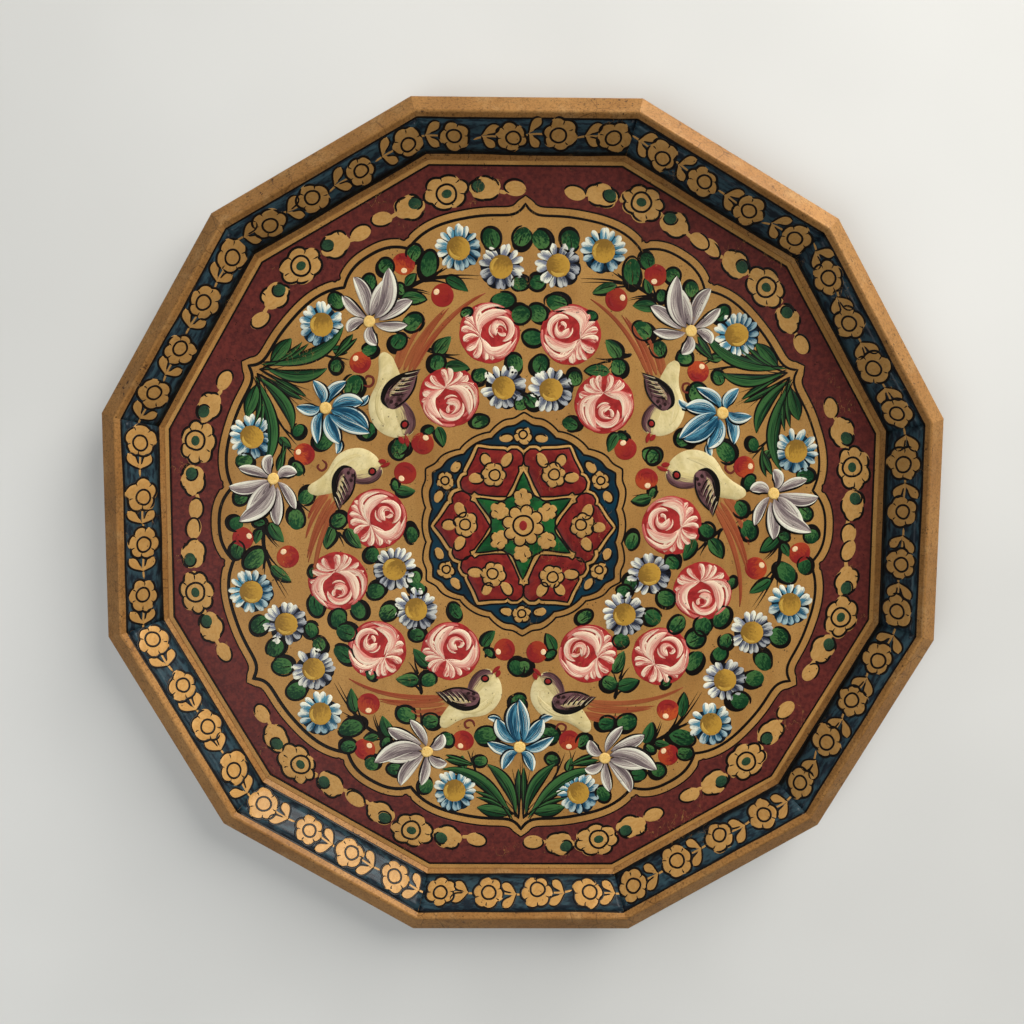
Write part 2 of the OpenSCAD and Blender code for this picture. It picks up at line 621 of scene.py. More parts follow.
def stave_finish():
    """Slightly gilt ochre lacquer, rubbed, crazed and chipped, for the lip and outside of the wall."""
    n = Nodes("wall_ochre_lacquer")
    paint = n.mix(n.cloud(0.3, 0.72, 18, 5), WALL_OCHRE, WALL_OCHRE_DEEP)
    paint = n.cover(paint, n.cloud(0.5, 0.72, 75, 5, 0.65), 0.5, WALL_RUBBED)
    paint = n.cover(paint, n.cloud(0.46, 0.66, 850, 4, 0.75), 0.6, WALL_GRAIN)
    specks = n.times(n.cloud(0.56, 0.64, 380, 5, 0.8), n.cloud(0.42, 0.6, 40, 3))
    paint = n.cover(paint, specks, 0.65, WALL_SPECK)
    craze = n.times(n.below(n.spots(95, "DISTANCE_TO_EDGE"), 0.016), n.cloud(0.5, 0.62, 26, 2))
    paint = n.cover(paint, craze, 0.55, WALL_CRACK)
    chips = n.times(n.cloud(0.6, 0.65, 420, 4, 0.7), n.cloud(0.5, 0.62, 34, 2))
    paint = n.mix(chips, paint, WALL_CHIP)
    paint = aged(n, paint, 0.3)
    grain = n.noise(240, 4)
    n.bump(n.minus(grain, n.plus(craze, chips)), 0.35, 0.00015)
    n.shader.inputs["Metallic"].default_value = 0.25
    return n.finish(paint, n.uneven(grain, 0.42, 0.28), 0.1)


PAINT = brush_paint("brush_paint", 0.05)
WALL_PAINT = brush_paint("wall_paint", 0.2, 0.4)
BOARD = board_finish()
STAVE = stave_finish()
for node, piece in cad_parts.items():
    finish = BOARD if node == "base_board" else STAVE
    piece.data.materials.clear()
    piece.data.materials.append(finish)


# ---------------------------------------------------------------- flowers
def lobed(radius, lobes, depth, turn=0.0, count=72, rough=0.02, squash=1.0):
    """An outline of round lobes, as a free hand draws it."""
    a = around(count)
    scallop = np.abs(np.sin(lobes * (a - radians(turn)) / 2)) ** 0.7
    r = radius * (1 - depth + depth * scallop) + wobble(count, radius * rough)
    return np.stack([r * np.cos(a), r * np.sin(a) * squash], axis=-1)


def oval(length, width, count=28, rough=0.03):
    """An outline of a slightly uneven oval, long along x."""
    a = around(count)
    stray = 1 + wobble(count, rough, 3)
    return np.stack([length / 2 * np.cos(a) * stray, width / 2 * np.sin(a) * stray], axis=-1)


def trace(art, pose, outline, start, share, width, layer, inset, slip):
    """A free-hand black line that follows part of an outline, a little off it."""
    count = len(outline)
    index = (int(start * count) + np.arange(max(int(share * count), 4))) % count
    centre = outline.mean(axis=0)
    path = centre + (outline[index] - centre) * inset + rng.normal(0, slip, 2)
    art.line(pose, path, width, layer, line_shape, count=len(path))


DAISY_ROOT = 6.0
DAISY_REACH = 11.4
DAISY_PETAL_WIDTH = 3.3
DAISY_PETALS = 17


def daisy(art, pose, light, deep):
    """A mustard button with a ring of short petals, pale on its lit side (+X) and dark on the other."""
    halo = pose.at(-1.3, 0)
    art.blob(halo, lobed(10.6, 9, 0.08), (blend_tones(deep, BLACK, 0.6), BLACK), 1, 0.05)
    petals = int(rng.integers(DAISY_PETALS - 1, DAISY_PETALS + 2))
    for k in range(petals):
        angle = 360 / petals * k + rng.normal(0, 2.5)
        lit = 0.5 + 0.5 * cos(radians(angle))
        reach = DAISY_REACH + 0.6 * lit + rng.normal(0, 0.35)
        a, lean = radians(angle), radians(angle + rng.normal(0, 6))
        root = (DAISY_ROOT * cos(a), DAISY_ROOT * sin(a))
        tip = (reach * cos(lean), reach * sin(lean))
        dark = blend_tones(deep, light, 0.9 * lit)
        pale = blend_tones(light, PETAL_WHITE, min(0.25 + 1.1 * lit, 1))
        path = [root, ((root[0] + tip[0]) / 2, (root[1] + tip[1]) / 2), tip]
        side = rng.choice((-1.1, 1.1))
        width = DAISY_PETAL_WIDTH * DAISY_PETALS / petals + rng.normal(0, 0.2)
        art.stroke(pose, path, width, (dark, pale), 3 + k % 2, dab_shape, 0.4, (side, 1.1, 0.9))
    art.blob(pose, oval(12.8, 12.4), (DAISY_HEART, DAISY_HEART_DARK), 6, 0.35, (0.5, 0.4, 0.5))
    shine = arc((-0.2, 0.2), 4.6, 40, 140, 10)
    art.stroke(pose, shine, 2.2, (DAISY_HEART, DAISY_HEART_LIGHT), 8, petal_shape, 0.15, MOTTLED_LOAD, 10)
    for _ in range(4):
        spot = pose.at(rng.normal(0, 1.8), rng.normal(0, 1.8))
        art.blob(spot, oval(0.9, 0.6, 8), (DAISY_HEART_DARK, DAISY_HEART), 9, 0.3)


ROSE_RADIUS = 16.0
ROSE_GATHER = (0.0, -5.6)
ROSE_HEART = (0.8, 5.2)
# Thin arcs by the rim, as radius, start, end and width; then the turns of the strokes that meet at the gather
ROSE_RIM_ARCS = ((14.2, 20, 78, 1.7), (14.3, 160, 104, 1.7), (12.0, 40, 92, 1.4), (12.2, 150, 98, 1.4))
ROSE_FAN_TURNS = (-174, -154, -135, -116, -97, -78, -58, -38, -18)


def rose(art, pose):
    """A crimson disc worked over with pale comma strokes, drawn in to one point beside a spiral heart."""
    art.blob(pose, lobed(ROSE_RADIUS, 9, 0.02, rough=0.012), (ROSE_RED, ROSE_DEEP), 2, 0.3, ROUND_LOAD)
    gather, heart = np.array(ROSE_GATHER), np.array(ROSE_HEART)
    thin = (ROSE_BLUSH, ROSE_PINK)
    pale = (ROSE_BLUSH, ROSE_CREAM)
    full = (ROSE_PINK, ROSE_CREAM)

    def pull(path, width, tones, layer, side=1.0, shape=comma_shape, count=14, streak=1.1):
        """One stroke, its points shaken one by one when they are few and all together otherwise."""
        shaken = np.asarray(path, float) + rng.normal(0, 0.3, (len(path) if len(path) < 5 else 1, 2))
        art.stroke(pose, shaken, width, tones, layer, shape, 0.3, (side, 0, streak), count)

    for radius, start, end, width in ROSE_RIM_ARCS:
        pull(arc((0, 0.2), radius, start, end, 14), width, thin, 4, -0.6, line_shape, streak=1.6)
    for angle in ROSE_FAN_TURNS:
        a = radians(angle + rng.normal(0, 3))
        bend = -1 if angle < -95 else 1
        rim = np.array([14.9 * cos(a), 14.9 * sin(a)])
        elbow = gather + (rim - gather) * 0.5 + np.array([-sin(a), cos(a)]) * 3.0 * bend
        pull([rim, elbow, gather], 3.9 + rng.normal(0, 0.4), pale, 5 + (angle > -95), -bend, streak=1.3)
    for path, width, tones, layer, side, streak in (
        ([(-2.0, -5.0), (-14.5, -5.5), (-15.6, 3.5), (-9.6, 11.0)], 3.4, pale, 7, -0.9, 1.3),
        ([(2.0, -5.0), (15.5, -6.5), (16.2, 3.0), (9.0, 12.0)], 3.4, pale, 7, 0.9, 1.3),
        ([(-1.4, -4.4), (-9.4, -2.6), (-9.6, 5.0), (-5.4, 12.2)], 5.6, full, 9, 0.6, 0.6),
        ([(2.2, -4.8), (10.4, -5.4), (14.0, 0.4), (8.8, 8.6)], 5.4, full, 9, 0.6, 0.6),
    ):
        pull(path, width, tones, layer, side, petal_shape, streak=streak)
    pull(arc(heart, 6.2, 172, -12, 16), 3.5, full, 8, 0.9, petal_shape, 16)
    pull(arc(heart, 5.2, 212, 298, 12), 1.6, pale, 8, -0.9, petal_shape, 12)
    pull(heart + [(2.2, -3.0), (-5.4, -3.6), (-4.4, 4.4), (3.0, 3.0)], 4.0, full, 11, -0.8)
    pull(heart + [(2.8, 2.2), (3.4, -1.0), (0.6, -1.4)], 2.2, full, 12, 0.6)
    pull(arc(heart + (0.3, 0.2), 1.7, 230, 40, 12), 0.8, thin, 14, 0, line_shape, 12)


def lily_petal(art, pose, start, elbow, tip, width, tones, layer, bright):
    """One plump petal, dark along one edge and pale along the other, on a thin black shadow."""
    start, elbow, tip = (np.asarray(p, float) for p in (start, elbow, tip))
    away = tip - elbow
    knee = elbow + 0.6 * away - 0.1 * bright * np.array([-away[1], away[0]])
    path = [start, elbow, knee, tip]
    shadow = pose.at(0.4, -0.5)
    art.stroke(shadow, path, width + 0.9, INK, layer, blade_shape, 0.03, (0, 0, 0.3), 14)
    art.stroke(pose, path, width, tones[:2], layer + 1, blade_shape, 0.4, (1.1 * bright, 0.2, 1.2), 16)
    line = bezier(path, 16)
    side = normals_of(line) * width * 0.5 * blade_shape(np.linspace(0, 1, 16))[:, None]
    for place, colours in ((-0.35, (tones[0], BLACK)), (0.1, (tones[0], tones[2])), (0.35, tones[1:])):
        vein = (line + side * place * bright)[2:14]
        art.stroke(pose, vein, 0.6, colours, layer + 4, taper_shape, 0.2, (0, 0, 1.2), 12)
    edge = (line + side * 0.74 * bright)[1:16]
    rim = (blend_tones(tones[1], tones[2], 0.5), tones[2])
    art.stroke(pose, edge, 0.7 + width * 0.14, rim, layer + 4, petal_shape, 0.3, (0, 0.8, 0.9), 15)
    far_edge = (line - side * 0.84 * bright)[2:15]
    art.stroke(pose, far_edge, 0.3 + width * 0.07, tones[1:], layer + 4, petal_shape, 0.2, (0, 0.8, 0.9), 13)


# Petals as start, elbow, tip, width and bright side (+1 is to the left of the way the petal grows).
# The blue lily opens toward the middle of the tray, the grey one toward the outside.
BLUE_PETALS = [
    ((3, 0), (9, 4), (17.5, -2.5), 6.4, 1), ((-3, 0), (-9, 3), (-18.5, -5.5), 5.8, -1),
    ((1, 3), (7, 3), (9.3, 12.5), 6.2, -1), ((-1, 3), (-6, 4), (-7.2, 13.5), 6.2, 1),
    ((2, -3), (10, -6), (12.5, -15.5), 8.4, 1), ((-2, -3), (-9, -6), (-12.5, -15.5), 8.2, -1),
]
BLUE_CURLS = [
    ((9.6, -12), (11.5, -15.5), (17.2, -16), 3.8, 1), ((-11, -12), (-12, -16), (-17.9, -16.8), 3.8, -1),
]
BLUE_MIDDLE = [
    ((0.6, -3), (2.8, -13), (0.8, -25), 11.6, -1), ((-1.6, -3), (-4.6, -14), (0.4, -26.5), 6.4, -1),
]
GREY_PETALS = [
    ((0.5, 2), (-0.5, 11), (3.6, 18.8), 5.4, 1), ((2, 2), (10.5, 7.5), (14.8, 18.8), 7.4, 1),
    ((-1, 2), (-5, 8.6), (-10.6, 6.4), 6.0, -1), ((-1.5, -2), (-8, -2.4), (-8.6, -9.6), 6.4, -1),
    ((0.5, -3), (1.5, -11), (8.8, -17.8), 5.4, -1), ((3, -4), (12, -8), (20.8, -13.4), 7.2, -1),
    ((2.5, 0.8), (13, 3.4), (25, 2.6), 8.0, 1), ((2.5, -1.4), (15, -5.6), (28.6, 5.6), 9.4, -1),
]


def lily(art, pose, petals, tones, heart=6.4):
    """Petals laid one over the other, and a yellow heart of the given size on top."""
    for k, petal in enumerate(petals):
        lily_petal(art, pose, *petal[:4], tones, 4 + 5 * k, petal[4])
    top = 5 + 5 * len(petals)
    art.blob(pose, oval(heart, heart * 0.96, 20, 0.04), (LILY_HEART, LILY_HEART_LIGHT), top, 0.4)


# ---------------------------------------------------------------- leaves and berries
def leaf(art, pose, length, width, pointed=False):
    """A green leaf slipped off its black shadow, with part of its outline drawn again over it."""
    layer = 1
    away = rng.uniform(0, 2 * pi)
    slip = 0.15 * width
    shadow = pose.at(slip * cos(away), slip * sin(away))
    lit = blend_tones(LEAF, LEAF_LIGHT, rng.uniform(0.1, 0.6))
    green = (lit, blend_tones(LEAF, LEAF_DARK, rng.uniform(0.4, 1)))
    if pointed:
        spine = [(-length / 2, 0), (0, length * 0.07), (length / 2, 0)]
        art.stroke(shadow, spine, width + 1.6, INK, layer, leaf_shape, 0.05, SHADOW_LOAD)
        art.stroke(pose, spine, width, green, layer + 2, leaf_shape, 0.3, (0.9, 0, 1.4))
        vein = [(-length * 0.42, 0), (0, length * 0.08), (length * 0.36, 0)]
        art.line(pose, vein, 0.9, layer + 6, taper_shape)
        return
    art.blob(shadow, oval(length + 1.8, width + 1.8), INK, layer, 0.05, SHADOW_LOAD)
    egg = oval(length, width) * (1 + 0.12 * np.cos(around(28)))[:, None]
    art.blob(pose, egg, green, layer + 2, 0.25, (0.9, 0.4, 1.5))
    start = rng.uniform(0, 1)
    trace(art, pose, egg, start, rng.uniform(0.6, 0.92), rng.uniform(1.2, 1.7), layer + 6, 1.04, 0.35)
    if rng.random() < 0.4:
        vein = [(-length * 0.3, 0), (0, 0.8), (length * 0.22, 0.3)]
        art.line(pose, vein, 1.0, layer + 6, taper_shape)


def berry(art, pose, radius, shine_turn, warm):
    """A round red fruit with a warm cheek, a darker bow away from the light and one pale dab of light."""
    low = blend_tones(BERRY_RED, ROSE_DEEP, 0.5)
    high = blend_tones(BERRY_RED, BERRY_ORANGE, warm)
    fruit = oval(2 * radius, 2.1 * radius, 28, 0.02)
    art.blob(pose.at(turn=shine_turn), fruit, (high, low), 3, 0.4, (0.9, -0.5, 0.9))
    bow = arc((0, 0), radius * 0.6, shine_turn + 130, shine_turn + 230, 12)
    art.stroke(pose, bow, radius * 0.3, (low, blend_tones(low, BLACK, 0.3)), 9, petal_shape, 0.1, (0, 0, 1.6))
    a = radians(shine_turn)
    spot = pose.at(radius * 0.6 * cos(a), radius * 0.6 * sin(a), shine_turn)
    art.blob(spot, oval(radius * 0.5, radius * 0.58, 14), (BERRY_LIGHT, ROSE_CREAM), 12, 0.3)


# Leaves of one wedge: place (x and y), length, width, turn, and whether it is pointed
WEDGE_LEAVES = [
    (-58, 141, 9, 7.5, 60, False), (-72.7, 135, 8, 8, 30, False),
    (-82, 126.6, 9, 7, 70, False), (-50, 134.7, 14, 9, 75, False),
    (-17, 149.7, 11, 9.5, 80, False), (-2.5, 149.5, 11, 9, 60, False),
    (-36.3, 126, 13.5, 5.4, -22, True), (-57.5, 118.3, 12.5, 6.4, -8, True),
    (-59.5, 128.2, 8, 4.4, 60, True), (-65.8, 123, 6.5, 5, 110, False),
    (-12.7, 118, 12, 8.5, 5, False), (-59, 105.4, 11, 9, 35, False),
    (-67, 95.6, 9, 8, 60, False), (-81.3, 92, 8.5, 6.5, 10, False),
    (-41.3, 94.7, 12.5, 7, 52, True), (-46.7, 85.4, 9, 8, 80, False),
    (-34.6, 82.8, 13, 6.4, -5, True), (-23.4, 78.3, 8.5, 7.5, 60, False),
    (-88.9, 72.6, 12.5, 9.5, 65, False), (-98.4, 116, 9.5, 7.5, 120, False),
    (-23.4, 54.7, 9.5, 6.8, 15, False), (-44.9, 46.3, 11, 5.6, -62, True),
    (-50.6, 50, 6, 4, 20, False), (-98.9, 82.6, 7.5, 6.2, 60, False),
    (-67, 38.3, 9.5, 8, 120, False), (-2.3, 111, 10.5, 9, 30, False),
    (-4.1, 85.4, 10, 8.5, 100, False), (-30, 112, 6, 4.5, 20, False),
    (-2, 127, 8.5, 7.5, 0, False), (-1.5, 65, 8.5, 7, 40, False),
    (-83.4, 49.7, 9, 8, 20, False), (-96.5, 92, 8, 4, -15, True),
]
ROSE_AXIS_LEAVES = [(1.6, 99, 10.5, 8, -5)]
# Stems and tendrils of one wedge: how bold each is, and its path
WEDGE_STEMS = [
    (2.4, (-66, 121), (-58, 126.5), (-48, 129.5), (-39.5, 135)),
    (1.7, (-60, 125), (-50, 129.5), (-40, 131.5), (-23.5, 130.5)),
    (1.1, (-55, 127.5), (-45, 129.8), (-35, 129.4), (-24, 128.6)),
    (1.2, (-52, 127.6), (-44, 128.6), (-37, 124.5)),
    (2.0, (-50, 129), (-45, 131.5), (-42.5, 134.5)), (1.3, (-63, 123), (-56, 124), (-49.5, 121.5)),
    (1.0, (-62, 122.4), (-55, 122.6), (-49, 120.4)), (1.2, (-64, 122), (-62, 126), (-61, 131)),
    (1.5, (-71, 103.5), (-64, 99.5), (-57.5, 97)), (1.0, (-66, 101), (-66, 98), (-66.5, 94)),
    (1.7, (-52.5, 93), (-47, 90), (-39, 88.8), (-33.5, 90)), (1.3, (-47.5, 90.6), (-43, 88), (-40, 83)),
    (1.2, (-51, 92.3), (-45, 93), (-37.5, 98.5)), (1.1, (-42, 88.8), (-36, 88), (-31, 85)),
    (1.3, (-113, 89.5), (-102, 89), (-92, 86.5)), (1.0, (-104, 89), (-99, 87), (-95.5, 84)),
    (1.3, (-52, 53), (-48, 49), (-43, 42)), (1.0, (-52.5, 50), (-48, 49.5), (-44, 50)),
]


# ---------------------------------------------------------------- birds, in a frame whose +Y is the lily axis
BIRD_BODY = [
    (38.5, 110.3), (42, 109), (42, 104.5), (39.5, 100.5), (35, 95), (29, 90), (24, 86.4), (22.5, 82),
    (20, 78.5), (16.8, 76.2), (13.5, 75.2), (10.8, 76.2), (8.6, 79), (6.2, 81.5), (4.9, 85.5), (4.7, 90),
    (6, 94.5), (9.5, 99.3), (14.5, 102.8), (20, 104), (26, 104.4), (32, 106.6),
]
BIRD_MIDDLE = (19, 92)
BIRD_WING = [
    (43.2, 88.3), (39.5, 88.2), (36, 86.9), (31, 86), (26, 86.4), (21.5, 87.5), (18.4, 90),
    (17.8, 93.5), (19, 97), (22, 98.6), (26, 98.9), (30.5, 98), (35.5, 95.3), (40, 91.8),
]
BIRD_WING_MIDDLE = (27, 92.5)
BIRD_EYE = (14.5, 81)
# Each bird's eye (x and y), size and turn: a hand-painted flock is not quite even
BIRDS = [
    (14.5, 81, 1, 0), (13.5, 85.5, 0.9, 4.6), (20, 83, 0.91, 2),
    (15.5, 83.5, 0.91, -3.7), (17, 84, 0.98, -1.6), (14, 84.5, 0.91, 4),
]
# Streamers as width and path; the first is the short worn patch at their root
BIRD_TAIL = [
    (6.0, (36, 98), (48, 100.5), (58, 100)), (3.0, (38, 99.6), (47, 103.4), (56, 102.4)),
    (2.8, (38, 98), (52, 101.6), (67, 98.6)), (2.6, (39, 95.4), (56, 98.2), (77, 92.8)),
    (2.2, (39, 92.8), (58, 95.8), (79, 91.2)), (2.9, (40, 91), (60, 93), (81, 88.4), (95, 78.6)),
]
BIRD_WING_LINES = [
    (1.2, taper_shape, [(26, 97), (33, 95), (38, 91.8), (41.5, 88.6)]),
    (1.1, line_shape, [(19, 90), (26, 86.8), (33, 86.2), (40, 88)]),
]
BIRD_BILL = [(2.9, (7.6, 80.6), (6.8, 78.6), (5.6, 76.2)), (2.4, (10.2, 78.2), (8, 75.6), (5.2, 73.8))]
BIRD_CURL = [(21.5, 110), (22.5, 106.8), (25, 106), (27.4, 107.6), (26.6, 110.4), (24.4, 110.4)]


def bird(art, pose):
    """A cream bird with a brown nape and wing, dry-brushed tail streamers and a curl of vine behind."""
    brown = (BIRD_BROWN, BIRD_BROWN_DARK)
    cream = (BIRD_CREAM, BIRD_CREAM_PALE)
    for k, (width, *path) in enumerate(BIRD_TAIL):
        worn = 0.15 * rng.random() if k else 0.7
        tones = (blend_tones(TAIL_RED, OCHRE, worn), blend_tones(TAIL_PALE, OCHRE, worn))
        taper = (width, width * 1.05, width * 0.8, width * 0.45)
        art.stroke(pose, path, taper, tones, 1 + k, line_shape, 0.1, (0.3, -0.5, 1.3), 20)
    body = smooth_path(BIRD_BODY, 66, closed=True)
    art.blob(pose, body, cream, 8, 0.3, (0.9, -0.3, 0.7), BIRD_MIDDLE)
    shade = [(30, 101), (22, 101.5), (13, 98), (9, 90)]
    art.stroke(pose, shade, 4.2, cream, 11, petal_shape, 0.3, (0.7, 0, 1.6), 18)
    nape = [(23.4, 91.0), (20.4, 84.0), (16.4, 79.2), (9.6, 78.6)]
    nape_width = (5.5, 9.0, 8.6, 3.4)
    art.stroke(pose, nape, nape_width, (BIRD_CREAM, BIRD_BROWN), 13, line_shape, 0.1, (1.5, 0, 0.9), 20)
    dark_nape = [(23.6, 88), (22.2, 79.6), (16.4, 75.4), (11, 76.6)]
    art.stroke(pose, dark_nape, (2.4, 3.6, 3.2, 1.2), brown, 15, line_shape, 0.1, (0.9, 0, 1.2), 16)
    wing = smooth_path(BIRD_WING, 48, closed=True)
    art.blob(pose, wing, brown, 17, 0.2, (1.2, 0.2, 1.3), BIRD_WING_MIDDLE)
    sheen = [(23, 95), (30, 95.6), (38, 91)]
    art.stroke(pose, sheen, 4.2, (BIRD_BROWN, BIRD_CREAM), 21, petal_shape, 0.1, (-0.8, 0, 1.6), 14)
    crest = smooth_path([(17.6, 92.5), (20, 97.4), (27, 98.8), (35, 95.6), (44, 88)], 20)
    art.line(pose, crest, 3.0, 24, petal_shape, count=20)
    for width, shape, path in BIRD_WING_LINES:
        art.line(pose, smooth_path(path, 14), width, 25, shape, count=14)
    for k in range(5):
        x = 24.5 + 2.9 * k
        quill = [(x, 95.0 - 0.4 * k), (x + 1.4, 91.2), (x + 5.2, 87.8)]
        art.line(pose, quill, 1.4, 25, taper_shape, count=8)
        beside = np.add(quill, (1.5, 0.6))
        art.stroke(pose, beside, 0.9, (BIRD_CREAM, GREY_PETAL), 26, taper_shape, 0.2, FIELD_LOAD, 8)
    for spot in ((21.4, 93), (21.6, 90), (24.6, 89.6)):
        art.blob(pose.at(*spot), oval(2.4, 2.0, 12), (BLACK, BIRD_BROWN_DARK), 24, 0.1)
    art.blob(pose.at(*BIRD_EYE), oval(5.4, 4.8, 18), INK, 22, 0.1)
    art.blob(pose.at(*BIRD_EYE), oval(3.2, 2.8, 14), (ROSE_DEEP, BERRY_RED), 25, 0.2)
    for width, *path in BIRD_BILL:
        art.stroke(pose, path, width, (BERRY_RED, ROSE_DEEP), 24, petal_shape, 0.3, (0, 0, 0.8), 8)
    curl = smooth_path(BIRD_CURL, 18)
    art.line(pose, curl, 1.4, 2, line_shape, (BIRD_BROWN_DARK, TAIL_RED), 18)


# ---------------------------------------------------------------- tufts of blades; +Y is the lily axis
# Blades as width and path from the root; the long ones reach under the daisies
FAN_BLADES = [
    (6.4, (5, 157.5), (13, 157), (23.5, 153.5)), (1.9, (4, 158.5), (12, 151.5), (25, 148.5)),
    (1.9, (4, 158), (11, 149.5), (25, 145)), (5.8, (4, 161), (12, 149), (22, 133), (43, 133.5)),
    (5.6, (2.5, 160), (4, 147), (8, 137), (18.6, 130.4)), (2.4, (1.2, 155), (1.6, 144), (1.6, 133)),
    (2.6, (27, 130.5), (34, 129), (42, 128)), (1.8, (26, 130.5), (33, 127), (41, 125)),
]
FAN_FORKS = ([(26.5, 131), (28, 126), (29.6, 122.5)], [(26.5, 131), (27.6, 125.5), (25.8, 122.5)])
FAN_THREAD_ENDS = ((9.5, 150), (20, 148), (5, 133), (0.6, 129))


def fan(art, pose):
    """A tuft of dark blades on each side of the lily axis."""
    green = (blend_tones(LEAF, LEAF_LIGHT, 0.3), blend_tones(LEAF, LEAF_DARK, 0.8))
    for flip in (False, True):
        half = pose.at(flip=flip)
        for k, (width, *path) in enumerate(FAN_BLADES):
            path = np.asarray(path) + rng.normal(0, 0.5, (len(path), 2))
            art.stroke(half, path, width + 1.8, INK, 2 + k, reed_shape, 0.05, SHADOW_LOAD, 18)
            art.stroke(half, path, width, green, 4 + k, reed_shape, 0.4, (1.0, 0, 1.2), 18)
            art.line(half, path + (0.12 * width, 0.12 * width), 0.9, 8 + k, taper_shape, count=16)
        for path in FAN_FORKS:
            art.line(half, path, 1.0, 3, taper_shape)
        for end in FAN_THREAD_ENDS:
            bend = (end[0] * 0.35, (161 + end[1]) / 2)
            art.line(half, [(1.2, 161), bend, end], 1.0, 14, taper_shape)


# ---------------------------------------------------------------- gold blossoms of the borders
def gild(art, pose, outline, layer):
    """A patch of gold."""
    art.blob(pose, outline, GOLD, layer, 0.2, ROUND_LOAD)


def blossom(art, pose, radius, lobes, heart, layer, squash, line):
    """A gold rosette with a free black outline, clefts between its lobes and a drawn ring."""
    turn = rng.uniform(0, 60)
    outline = lobed(radius, lobes, 0.17, turn, 60, 0.045, squash)
    gild(art, pose, outline, layer)
    start = rng.uniform(0, 1)
    for k in range(3):
        trace(art, pose, outline, start + k / 3, 0.33, line * 1.2, layer + 5, 0.97, 0.03 * radius)
    for k in range(lobes):
        a = radians(turn + 360 / lobes * k + rng.normal(0, 3))
        cleft = np.array([(0.82, 0.02), (0.68, -0.02), (0.58, 0.03)]) * radius
        path = [(r * cos(a) - s * sin(a), (r * sin(a) + s * cos(a)) * squash) for r, s in cleft]
        art.line(pose, path, line * 0.9, layer + 5, taper_shape, count=6)
    heart_place = pose.at(*rng.normal(0, 0.06 * radius, 2))
    ring = lobed(radius * 0.42, 3, 0.05, rng.uniform(0, 120), 28, 0.03)
    art.loop(heart_place, ring, line, layer=layer + 5)
    if heart:
        art.blob(heart_place, oval(radius * 0.46, radius * 0.38, 16), heart, layer + 5, 0.2, (0.4, 0, 1.0))


def bud(art, pose, length, width, layer=4):
    """A plain gold bud with a black line round most of it."""
    outline = oval(length, width, 30, 0.04) * (1 + 0.1 * np.cos(around(30)))[:, None]
    gild(art, pose, outline, layer)
    start, share = rng.uniform(0, 1), rng.uniform(0.5, 0.75)
    trace(art, pose, outline, start, share, 1.2, layer + 5, 0.97, 0.03 * length)


def green_bud(art, pose, length, width):
    """A lobed gold bud with a green spot at its inner end (-X)."""
    layer, line = 4, 1.2
    outline = lobed(length / 2, 5, 0.13, rng.uniform(0, 70), 50, 0.03, width / length)
    gild(art, pose, outline, layer)
    for start, share in ((0.62, 0.3), (0.0, 0.26), (0.3, 0.2)):
        start += rng.normal(0, 0.03)
        trace(art, pose, outline, start, share, line * 1.2, layer + 5, 0.97, 0.02 * length)
    cleft = [(length * 0.28, width * 0.42), (length * 0.22, width * 0.3), (length * 0.27, width * 0.24)]
    art.line(pose, cleft, line, layer + 5, taper_shape, count=6)
    eye = pose.at(-0.2 * length, 0.1 * width, rng.uniform(-25, 25))
    spot = oval(length * 0.42, width * 0.48, 22)
    art.blob(eye, spot, GREEN_HEART, layer + 5, 0.25, (0.7, 0.2, 1.0))
    trace(art, eye, spot, rng.uniform(0, 1), 0.6, line * 0.9, layer + 8, 1.04, 0.2)


# ---------------------------------------------------------------- outlines of the floor's fields
def polygon_radius(angle, flat_distance):
    """Distance from the middle to a twelve-sided outline, at angles in radians from +Y."""
    within = (np.asarray(angle) + HALF_SIDE) % (2 * HALF_SIDE) - HALF_SIDE
    return flat_distance / np.cos(within)


CUSP_RADIUS = 155.5
# Half the breadth of each kind of lobe, in degrees round the middle
LONG_LOBE = 11.4
SHORT_LOBE = 7.2


def degrees_off_axis(angle):
    """Degrees from the nearest of the six ogee axes, for angles in radians from +Y."""
    return np.abs((np.degrees(angle) + 30) % 60 - 30)


def cartouche_radius(angle):
    """The scalloped field: six ogee points, and two cusps between each pair of them."""
    off = degrees_off_axis(angle)
    long_lobe = CUSP_RADIUS + 6.6 * (1 - np.abs(off / LONG_LOBE - 1) ** 3) + 11.5 * np.exp(-off / 1.7)
    short_lobe = CUSP_RADIUS + 6.2 * (1 - np.abs((off - 30) / SHORT_LOBE) ** 2.6)
    return np.where(off < 2 * LONG_LOBE, long_lobe, short_lobe)


def round_points(radius, angle):
    """Points at a radius and an angle from +Y, running anticlockwise."""
    return np.stack([-radius * np.sin(angle), radius * np.cos(angle)], axis=-1)


FIELD_POINTS = 1440
FIELD_ANGLES = around(FIELD_POINTS)
MIDDLE = Pose()


def scattered(pose, x, y, spread=0.6, turn=0.0):
    """A pose near a place, as a free hand finds it."""
    return pose.at(x + rng.normal(0, spread), y + rng.normal(0, spread), turn)


# The gold line round the cartouche, the gold edge left outside the border, and a painted shade line in the
# crease by the wall
GOLD_LINE = 4.3
GOLD_EDGE = 2.9
CREASE_IN = 0.25


